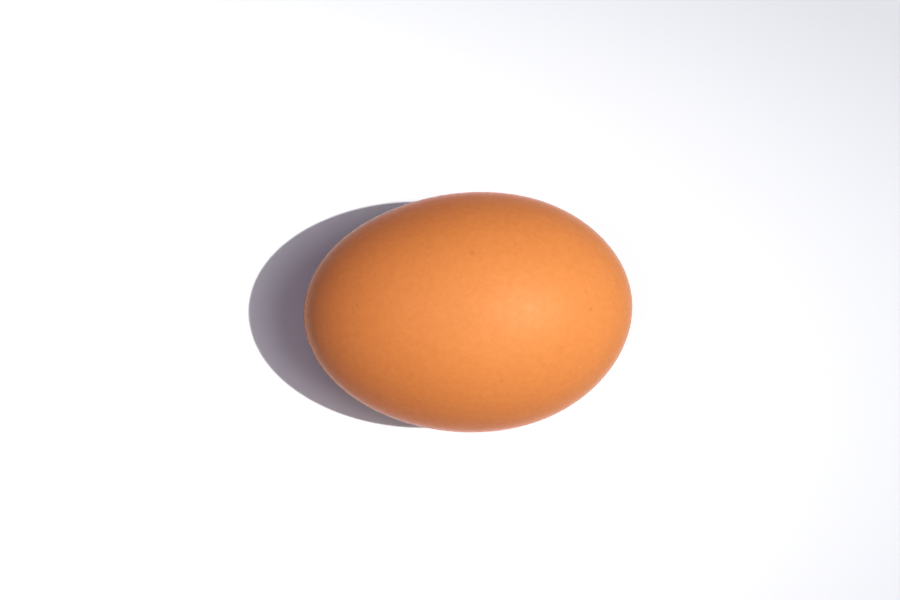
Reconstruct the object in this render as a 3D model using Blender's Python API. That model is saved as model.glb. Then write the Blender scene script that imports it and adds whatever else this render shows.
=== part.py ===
"""A brown hen's egg, whole in its shell, lying on its side as an egg settles on a table.

Metres, +Z up. The long axis runs along X, with the blunt end at +X. The origin is on the table, under
the middle of the egg's outline. A whole egg is one piece, so it is one closed solid.
"""

import math

import bmesh
import bpy
from mathutils import Matrix

# Driving dimensions, in metres
LENGTH = 0.058
BREADTH = 0.04235
WIDEST_OFFSET = 0.0015  # of the widest ring, from mid-length towards the blunt end
BOW = 0.0004  # sideways bend of the centre line: both ends stand this far to +Y of mid-length
REST_DEPTH = 0.0002  # depth of belly taken off to make the small flat spot that the egg rests on

# The blunt end is heavier and fuller, so it rides this much higher when the weight is over the lowest point
REST_LEAN = math.radians(3.3)

# How far the rings depart from the plain egg curve, as a share of their size
BLUNT_TAPER = 0.037  # at the blunt tip rings are drawn in this much, and at the narrow tip filled out as much
TIP_TAPER = 0.017  # at both tips rings are drawn in this much besides

# Six times this squared is the number of square facets, each about 1.4 mm across at the belly
FACETS_PER_SIDE = 24

SHELL_COLOUR = (0.46, 0.215, 0.09, 1.0)
SHELL_ROUGHNESS = 0.5


def clear_scene():
    for obj in list(bpy.data.objects):
        bpy.data.objects.remove(obj)


def egg_point(direction):
    """Where the shell is, seen from the egg's middle along a unit direction.

    Each ring of the shell is a circle. The rings follow an ellipse, divided by a term that moves its
    widest ring towards the blunt end and tapers the narrow end. The two tapers then draw the tips in or
    fill them out a little.
    """
    along = direction.x
    shift = 2 * WIDEST_OFFSET / LENGTH
    ring = BREADTH / 2 / math.sqrt(1 - 2 * shift * along + shift**2)
    ring *= 1 - BLUNT_TAPER * along**3 - TIP_TAPER * along**4
    return LENGTH / 2 * along, ring * direction.y + BOW * along**2, ring * direction.z


def rounded_cube(facets_per_side):
    """A cube cut into squares and swelled to a unit sphere, so that no facets crowd at the ends."""
    shape = bmesh.new()
    bmesh.ops.create_cube(shape, size=2)
    bmesh.ops.subdivide_edges(
        shape, edges=shape.edges, cuts=facets_per_side - 1, use_grid_fill=True
    )
    for vert in shape.verts:
        # Equal angles across each cube face make the squares nearly equal on the sphere.
        vert.co = [math.tan(math.pi / 4 * value) for value in vert.co]
        vert.co.normalize()
    return shape


def lay_down(shape):
    """Leans the egg as it settles and centres its outline over the origin, with the flat spot at height 0."""
    bmesh.ops.rotate(shape, verts=shape.verts, matrix=Matrix.Rotation(-REST_LEAN, 3, "Y"))
    lengthwise = [vert.co.x for vert in shape.verts]
    table = min(vert.co.z for vert in shape.verts) + REST_DEPTH
    middle = (min(lengthwise) + max(lengthwise)) / 2
    bmesh.ops.translate(shape, verts=shape.verts, vec=(-middle, 0, -table))


def flatten_rest(shape):
    """Takes off what is below height 0 and closes the cut with one flat face."""
    cut = bmesh.ops.bisect_plane(
        shape,
        geom=shape.verts[:] + shape.edges[:] + shape.faces[:],
        plane_co=(0, 0, 0),
        plane_no=(0, 0, -1),
        clear_outer=True,
    )
    rim = [item for item in cut["geom_cut"] if isinstance(item, bmesh.types.BMEdge)]
    spot = bmesh.ops.contextual_create(shape, geom=rim)["faces"][0]
    spot.smooth = False
    for edge in rim:
        edge.smooth = False


def shell_material():
    material = bpy.data.materials.new("brown_eggshell")
    material.use_nodes = True
    surface = material.node_tree.nodes["Principled BSDF"]
    surface.inputs["Base Color"].default_value = SHELL_COLOUR
    surface.inputs["Roughness"].default_value = SHELL_ROUGHNESS
    surface.inputs["Metallic"].default_value = 0.0
    return material


def make_egg():
    shape = rounded_cube(FACETS_PER_SIDE)
    for vert in shape.verts:
        vert.co = egg_point(vert.co)
    for face in shape.faces:
        face.smooth = True
    lay_down(shape)
    flatten_rest(shape)
    bmesh.ops.recalc_face_normals(shape, faces=shape.faces)
    mesh = bpy.data.meshes.new("egg")
    shape.to_mesh(mesh)
    shape.free()
    mesh.materials.append(shell_material())
    egg = bpy.data.objects.new("egg", mesh)
    bpy.context.scene.collection.objects.link(egg)


clear_scene()
make_egg()
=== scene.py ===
import math

import bmesh
import bpy
from mathutils import Matrix, Vector, noise
from mathutils.bvhtree import BVHTree


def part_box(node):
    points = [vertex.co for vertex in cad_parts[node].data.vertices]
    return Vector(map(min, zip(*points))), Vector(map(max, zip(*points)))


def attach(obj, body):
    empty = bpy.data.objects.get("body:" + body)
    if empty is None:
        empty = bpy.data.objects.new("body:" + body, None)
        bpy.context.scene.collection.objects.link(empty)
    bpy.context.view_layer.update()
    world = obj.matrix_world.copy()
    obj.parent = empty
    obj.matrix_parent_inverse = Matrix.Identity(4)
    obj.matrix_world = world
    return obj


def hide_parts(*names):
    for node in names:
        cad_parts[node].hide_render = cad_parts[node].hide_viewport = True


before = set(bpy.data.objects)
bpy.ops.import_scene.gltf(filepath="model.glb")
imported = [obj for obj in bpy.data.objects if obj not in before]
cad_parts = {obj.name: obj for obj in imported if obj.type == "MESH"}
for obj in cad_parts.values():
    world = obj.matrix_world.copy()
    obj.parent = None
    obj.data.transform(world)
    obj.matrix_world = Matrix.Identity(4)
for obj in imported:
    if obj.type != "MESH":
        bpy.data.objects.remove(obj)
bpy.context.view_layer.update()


# The shell
# A hen's egg is one closed shell of chalky lime, about 0.4 mm thick. The hen lays a thin brown skin of
# pigment over it last, so the colour lies on the surface, matt and finely mottled.

# In metres, with the blunt end at +X
LENGTH = 0.058
BREADTH = 0.04235
WIDEST_OFFSET = 0.0015  # of the widest ring, from mid-length towards the blunt end
BLUNT_TAPER = 0.037  # how much the blunt end's tip is drawn in, and the narrow end's filled out
TIP_TAPER = 0.017  # how much both tips are drawn in besides
BOW = 0.0004  # sideways bend of the centre line
REST_LEAN = math.radians(3.3)  # the blunt end rides this much higher

FACETS_PER_SIDE = 128  # of the cube that is swelled into the egg: each facet is about 0.3 mm across
SWELL_HEIGHT = 0.000012  # of the low swells, felt more than seen, that the shell hardens with
SWELL_WIDTH = 0.006
RIPPLE_HEIGHT = 0.0000035  # of the finer waves on the swells
RIPPLE_WIDTH = 0.0018


def egg_point(direction):
    """Where the shell is, seen from the egg's middle along a unit direction."""
    along = direction.x
    shift = 2 * WIDEST_OFFSET / LENGTH
    ring = BREADTH / 2 / math.sqrt(1 - 2 * shift * along + shift**2)
    ring *= 1 - BLUNT_TAPER * along**3 - TIP_TAPER * along**4
    return Vector((LENGTH / 2 * along, ring * direction.y + BOW * along**2, ring * direction.z))


def relief(point):
    """Height of the shell above its smooth form at a point."""
    swell = noise.noise(point / SWELL_WIDTH)
    ripple = noise.noise(point / RIPPLE_WIDTH)
    return SWELL_HEIGHT * swell + RIPPLE_HEIGHT * ripple


def swell_cube(shape):
    """Turns a cube cut into squares into the egg, with no facets crowded at its ends."""
    for vert in shape.verts:
        vert.co = [math.tan(math.pi / 4 * value) for value in vert.co]
        vert.co = egg_point(vert.co.normalized())


def lay_down(shape):
    """Leans the egg as it settles, and puts it where the CAD egg is."""
    bmesh.ops.rotate(shape, verts=shape.verts, matrix=Matrix.Rotation(-REST_LEAN, 3, "Y"))
    lowest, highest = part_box("egg")
    lengthwise = [vert.co.x for vert in shape.verts]
    top = max(vert.co.z for vert in shape.verts)
    middle = (min(lengthwise) + max(lengthwise)) / 2
    move = ((lowest.x + highest.x) / 2 - middle, 0, highest.z - top)
    bmesh.ops.translate(shape, verts=shape.verts, vec=move)


def roughen(shape):
    """Raises the low swells and ripples along the shell's own normals."""
    shape.normal_update()
    for vert in shape.verts:
        vert.co += vert.normal * relief(vert.co)


def flatten_rest(shape):
    """Takes off what is below the table and closes the cut with one flat face."""
    cut = bmesh.ops.bisect_plane(
        shape,
        geom=shape.verts[:] + shape.edges[:] + shape.faces[:],
        plane_co=(0, 0, 0),
        plane_no=(0, 0, -1),
        clear_outer=True,
    )
    rim = [item for item in cut["geom_cut"] if isinstance(item, bmesh.types.BMEdge)]
    spot = bmesh.ops.contextual_create(shape, geom=rim)["faces"][0]
    spot.smooth = False
    for edge in rim:
        edge.smooth = False


PIGMENT = (0.459, 0.197, 0.076, 1)
DEEP_PIGMENT = (0.30, 0.115, 0.035, 1)
PALE_PIGMENT = (0.60, 0.33, 0.16, 1)
SPECK_COLOUR = (0.13, 0.045, 0.02, 1)

# Clouds, mottle and grain are random values of one width each. A strength is the most of its pigment that
# is mixed in, which is reached as the random value crosses the span.
CLOUD_WIDTH = 0.016
CLOUD_SPAN = (0.35, 0.65)
CLOUD_STRENGTH = 0.06
MOTTLE_WIDTH = 0.0011
MOTTLE_SPAN = (0.3, 0.7)
MOTTLE_STRENGTH = 0.12
MOTTLE_HEIGHT = 0.000012
GRAIN_WIDTH = 0.0003
GRAIN_SPAN = (0.3, 0.75)
GRAIN_STRENGTH = 0.08
GRAIN_HEIGHT = 0.0000025
PORE_SPACING = 0.0009
PORE_WIDTH = 0.00016
PORE_STRENGTH = 0.22
PORE_DEPTH = 0.000006

ROUGHNESS = (0.52, 0.58)  # at the two ends of the mottle's span
RIM = (0.42, 1)  # how far the shell is turned from the eye, from 0 to 1, as the gloss of its rim grows
RIM_ROUGHNESS = 0.45  # the share of the roughness that is left where it is turned furthest
GLOSS = 0.17  # a smooth plastic has 0.5
SHEEN = 0.13  # a warm bloom at a glance
SHEEN_ROUGHNESS = 0.42
SHEEN_TINT = (1.00, 0.23, 0.25, 1)

SPECK_CORE = 0.35  # share of a speck's radius that is evenly dark

# Specks of darker pigment on the upper side: how far along and across the egg, radius and strength. The
# last is a faint smudge.
SPECKS = (
    (0.0009, 0.0072, 0.0006, 0.16),
    (0.0205, -0.0024, 0.0005, 0.16),
    (0.0050, -0.0141, 0.00055, 0.135),
    (0.0153, -0.0088, 0.0004, 0.11),
    (0.0213, 0.0030, 0.00035, 0.13),
    (-0.0012, 0.0029, 0.00045, 0.085),
    (-0.0038, -0.0022, 0.0004, 0.075),
    (-0.0098, -0.0123, 0.0005, 0.08),
    (-0.0188, -0.0003, 0.00045, 0.09),
    (0.0014, -0.0164, 0.00045, 0.065),
    (0.0147, -0.0094, 0.0013, 0.04),
)

# Specks of the underside, scattered at random
UNDERSIDE = (0.012, 0.016)  # heights between which they die out
UNDERSIDE_SPACING = 0.006
UNDERSIDE_CORE = 0.00018
UNDERSIDE_RADIUS = 0.00054
UNDERSIDE_CHANCES = (0.45, 1)  # a random value up to the first gives no speck, and the second the darkest
UNDERSIDE_STRENGTH = 0.26


def wire(tree, socket, value):
    """Links a value that comes from a node, and sets a plain one."""
    if isinstance(value, bpy.types.NodeSocket):
        tree.links.new(value, socket)
    else:
        socket.default_value = value


def calculate(tree, operation, first, second):
    node = tree.nodes.new("ShaderNodeMath")
    node.operation = operation
    wire(tree, node.inputs[0], first)
    wire(tree, node.inputs[1], second)
    return node.outputs["Value"]


def fade(tree, value, start, end, low, high):
    """Runs smoothly from low to high while a value runs from start to end."""
    node = tree.nodes.new("ShaderNodeMapRange")
    node.interpolation_type = "SMOOTHSTEP"
    wire(tree, node.inputs["Value"], value)
    node.inputs["From Min"].default_value = start
    node.inputs["From Max"].default_value = end
    node.inputs["To Min"].default_value = low
    node.inputs["To Max"].default_value = high
    return node.outputs["Result"]


def drift(tree, place, width, detail):
    """Soft random values around one half that change over a given width."""
    node = tree.nodes.new("ShaderNodeTexNoise")
    wire(tree, node.inputs["Vector"], place)
    node.inputs["Scale"].default_value = 1 / width
    node.inputs["Detail"].default_value = detail
    return node.outputs["Fac"]


def cells(tree, place, spacing):
    """A node that knows how far each place is from the middle of its own random cell, in spacings."""
    node = tree.nodes.new("ShaderNodeTexVoronoi")
    wire(tree, node.inputs["Vector"], place)
    node.inputs["Scale"].default_value = 1 / spacing
    return node


def distance(tree, place, point):
    node = tree.nodes.new("ShaderNodeVectorMath")
    node.operation = "DISTANCE"
    wire(tree, node.inputs[0], place)
    node.inputs[1].default_value = point
    return node.outputs["Value"]


def stain(tree, colour, amount, tint):
    """Mixes an amount of a tint into a colour.

    The node's colour sockets share their names with its number sockets, so they are found by number.
    """
    node = tree.nodes.new("ShaderNodeMix")
    node.data_type = "RGBA"
    wire(tree, node.inputs["Factor"], amount)
    wire(tree, node.inputs[6], colour)
    wire(tree, node.inputs[7], tint)
    return node.outputs[2]


def pores(tree, place):
    """One in the middle of each pore and nothing outside it."""
    away = cells(tree, place, PORE_SPACING).outputs["Distance"]
    return fade(tree, away, 0, PORE_WIDTH / PORE_SPACING / 2, 1, 0)


def scattered_specks(tree, place):
    """Random specks of different strengths, thinly spread over the underside."""
    spread = cells(tree, place, UNDERSIDE_SPACING)
    chance = tree.nodes.new("ShaderNodeSeparateColor")
    wire(tree, chance.inputs["Color"], spread.outputs["Color"])
    height = tree.nodes.new("ShaderNodeSeparateXYZ")
    wire(tree, height.inputs["Vector"], place)
    core = UNDERSIDE_CORE / UNDERSIDE_SPACING
    radius = UNDERSIDE_RADIUS / UNDERSIDE_SPACING
    strength = fade(tree, chance.outputs["Red"], *UNDERSIDE_CHANCES, 0, UNDERSIDE_STRENGTH)
    near = fade(tree, spread.outputs["Distance"], core, radius, 1, 0)
    low = fade(tree, height.outputs["Z"], *UNDERSIDE, 1, 0)
    return calculate(tree, "MULTIPLY", calculate(tree, "MULTIPLY", strength, near), low)


def specks(tree, place, shape):
    """All specks. Those of the upper side lie where a plumb line through their place meets the shell."""
    speck = scattered_specks(tree, place)
    outside = BVHTree.FromBMesh(shape)
    for along, across, radius, strength in SPECKS:
        middle = outside.ray_cast((along, across, LENGTH), (0, 0, -1))[0]
        away = distance(tree, place, middle)
        near = fade(tree, away, radius * SPECK_CORE, radius, strength, 0)
        speck = calculate(tree, "MAXIMUM", speck, near)
    return speck


def shell_colour(tree, place, mottle, grain, pore, shape):
    clouds = drift(tree, place, CLOUD_WIDTH, detail=2)
    colour = stain(tree, PIGMENT, fade(tree, clouds, *CLOUD_SPAN, 0, CLOUD_STRENGTH), DEEP_PIGMENT)
    colour = stain(tree, colour, fade(tree, mottle, *MOTTLE_SPAN, 0, MOTTLE_STRENGTH), DEEP_PIGMENT)
    colour = stain(tree, colour, fade(tree, grain, *GRAIN_SPAN, 0, GRAIN_STRENGTH), PALE_PIGMENT)
    colour = stain(tree, colour, calculate(tree, "MULTIPLY", pore, PORE_STRENGTH), DEEP_PIGMENT)
    return stain(tree, colour, specks(tree, place, shape), SPECK_COLOUR)


def shell_roughness(tree, mottle):
    """The fine grain that dulls the shell seen straight on hides at a glance, so its rim shines a little."""
    turned = tree.nodes.new("ShaderNodeLayerWeight").outputs["Facing"]
    straight_on = fade(tree, mottle, *MOTTLE_SPAN, *ROUGHNESS)
    return calculate(tree, "MULTIPLY", straight_on, fade(tree, turned, *RIM, 1, RIM_ROUGHNESS))


def shell_bumps(tree, mottle, grain, pore):
    height = calculate(tree, "MULTIPLY", mottle, MOTTLE_HEIGHT)
    height = calculate(tree, "ADD", height, calculate(tree, "MULTIPLY", grain, GRAIN_HEIGHT))
    height = calculate(tree, "SUBTRACT", height, calculate(tree, "MULTIPLY", pore, PORE_DEPTH))
    bump = tree.nodes.new("ShaderNodeBump")
    bump.inputs["Distance"].default_value = 1.0  # the heights are in metres already
    wire(tree, bump.inputs["Height"], height)
    return bump.outputs["Normal"]


def shell_material(shape):
    material = bpy.data.materials.new("brown_eggshell")
    material.use_nodes = True
    tree = material.node_tree
    surface = tree.nodes["Principled BSDF"]
    place = tree.nodes.new("ShaderNodeTexCoord").outputs["Object"]
    mottle = drift(tree, place, MOTTLE_WIDTH, detail=3)
    grain = drift(tree, place, GRAIN_WIDTH, detail=2)
    pore = pores(tree, place)
    wire(tree, surface.inputs["Base Color"], shell_colour(tree, place, mottle, grain, pore, shape))
    wire(tree, surface.inputs["Roughness"], shell_roughness(tree, mottle))
    wire(tree, surface.inputs["Normal"], shell_bumps(tree, mottle, grain, pore))
    surface.inputs["Specular IOR Level"].default_value = GLOSS
    surface.inputs["Sheen Weight"].default_value = SHEEN
    surface.inputs["Sheen Roughness"].default_value = SHEEN_ROUGHNESS
    surface.inputs["Sheen Tint"].default_value = SHEEN_TINT
    return material


shape = bmesh.new()
bmesh.ops.create_cube(shape, size=2)
bmesh.ops.subdivide_edges(shape, edges=shape.edges, cuts=FACETS_PER_SIDE - 1, use_grid_fill=True)
swell_cube(shape)
lay_down(shape)
for face in shape.faces:
    face.smooth = True
roughen(shape)
flatten_rest(shape)
bmesh.ops.recalc_face_normals(shape, faces=shape.faces)
shell_mesh = bpy.data.meshes.new("eggshell")
shape.to_mesh(shell_mesh)
shell_mesh.materials.append(shell_material(shape))
shape.free()
shell = bpy.data.objects.new("eggshell", shell_mesh)
bpy.context.scene.collection.objects.link(shell)
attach(shell, "root")
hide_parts("egg")


# The surface that the egg lies on
# A plain white board, matt and level, wide enough to fill every view. Its colour holds painted shade:
# the daylight's slow weakening along it is painted in as grey, a little greyer beyond the blunt end.

BOARD_SIZE = 6.0
BOARD_WHITE = (0.617, 0.617, 0.617, 1)
# the grey of the painted shade, where the daylight is weakest
PAINTED_SHADE_GREY = (0.372, 0.378, 0.388, 1)
BOARD_ROUGHNESS = 0.9
BOARD_GLOSS = 0.1
BRIGHTEST_PLACE = (-0.233, -0.0142, 0)
FALL_OFF = (0.69, 0.245, 1)  # one step away from there, along and across the egg
PAINTED_SHADE_SPAN = (0.25, 0.54)  # how many steps away the board starts to grey, and is quite grey

shape = bmesh.new()
bmesh.ops.create_grid(shape, x_segments=1, y_segments=1, size=BOARD_SIZE / 2)
board_mesh = bpy.data.meshes.new("white_board")
shape.to_mesh(board_mesh)
shape.free()
board_material = bpy.data.materials.new("white_board")
board_material.use_nodes = True
tree = board_material.node_tree
surface = tree.nodes["Principled BSDF"]
place = tree.nodes.new("ShaderNodeTexCoord").outputs["Object"]
away = tree.nodes.new("ShaderNodeMapping")
away.vector_type = "TEXTURE"
away.inputs["Location"].default_value = BRIGHTEST_PLACE
away.inputs["Scale"].default_value = FALL_OFF
wire(tree, away.inputs["Vector"], place)
painted_shade = tree.nodes.new("ShaderNodeMapRange")
painted_shade.inputs["From Min"].default_value = PAINTED_SHADE_SPAN[0]
painted_shade.inputs["From Max"].default_value = PAINTED_SHADE_SPAN[1]
wire(tree, painted_shade.inputs["Value"], distance(tree, away.outputs["Vector"], (0, 0, 0)))
# painted shade: the board's colour turns grey in place of daylight that weakens along it
colour = stain(tree, BOARD_WHITE, painted_shade.outputs["Result"], PAINTED_SHADE_GREY)
wire(tree, surface.inputs["Base Color"], colour)
surface.inputs["Roughness"].default_value = BOARD_ROUGHNESS
surface.inputs["Specular IOR Level"].default_value = BOARD_GLOSS
board_mesh.materials.append(board_material)
board = bpy.data.objects.new("white_board", board_mesh)
bpy.context.scene.collection.objects.link(board)


# The light
# Clear sun from beyond the blunt end, high enough for a short shadow, with a glow of haze around it. The
# rest is soft light from high up, three broad lamps that are as far off as the sun.

SUN_AZIMUTH = -16.6  # degrees, from the direction in which the blunt end points
SUN_ELEVATION = 62.6


def add_light(name, azimuth, elevation, width, colour):
    """A far lamp. Angles are in degrees, and the colour is the light that a surface facing it gets."""
    data = bpy.data.lights.new(name, "SUN")
    data.energy = math.pi * max(colour)
    data.color = [value / max(colour) for value in colour]
    data.angle = math.radians(width)
    light = bpy.data.objects.new(name, data)
    tilt = Matrix.Rotation(math.radians(90 - elevation), 4, "Y")
    light.matrix_world = Matrix.Rotation(math.radians(azimuth), 4, "Z") @ tilt
    bpy.context.scene.collection.objects.link(light)


add_light("sun", SUN_AZIMUTH, SUN_ELEVATION, 0.9, (1.43, 1.43, 1.40))
add_light("haze", SUN_AZIMUTH, SUN_ELEVATION, 27, (0.45, 0.47, 0.46))
add_light("high_sky", 0, 90, 108, (0.14, 0.16, 0.20))
add_light("west_sky", 186, 67, 60, (0.28, 0.24, 0.30))
add_light("south_sky", -90, 60, 60, (0.08, 0.07, 0.06))

world = bpy.data.worlds.new("dark")
world.use_nodes = True
world.node_tree.nodes["Background"].inputs["Color"].default_value = (0, 0, 0, 1)
bpy.context.scene.world = world


# The picture's tones
# The picture is shown with the contrast of the photograph, where bright tones crowd together towards
# white as they do in a camera. The crowding works on the light, and the contrast on the finished picture.

CONTRAST = 1.75
CROWDING = 0.51  # how much faster the darkest tones rise than they would with none
CURVE_POINTS = (0.04, 0.1, 0.2, 0.35, 0.5, 0.65, 0.8)  # closer together where the curve bends most

view = bpy.context.scene.view_settings
view.view_transform = "Standard"
view.gamma = 1 / CONTRAST
view.use_curve_mapping = True
all_colours = view.curve_mapping.curves[3]
for light in CURVE_POINTS:
    all_colours.points.new(light, (1 + CROWDING) * light / (1 + CROWDING * light))
view.curve_mapping.update()


# The camera
# It looks down from arm's length, tipped a little away from plumb and turned a little against the egg. Its
# lens is long, so the egg's outline is nearly what it would be from straight above.

CAMERA_PLACE = (-0.00495, -0.0496, 0.3667)
CAMERA_TIP = math.radians(8.55)
CAMERA_TURN = math.radians(-2.12)
CAMERA_LENS = 79.16  # mm, on a sensor 36 mm wide

camera_data = bpy.data.cameras.new("camera")
camera_data.lens = CAMERA_LENS
camera = bpy.data.objects.new("camera", camera_data)
camera.location = CAMERA_PLACE
camera.rotation_euler = (CAMERA_TIP, 0, CAMERA_TURN)
bpy.context.scene.collection.objects.link(camera)
bpy.context.scene.camera = camera
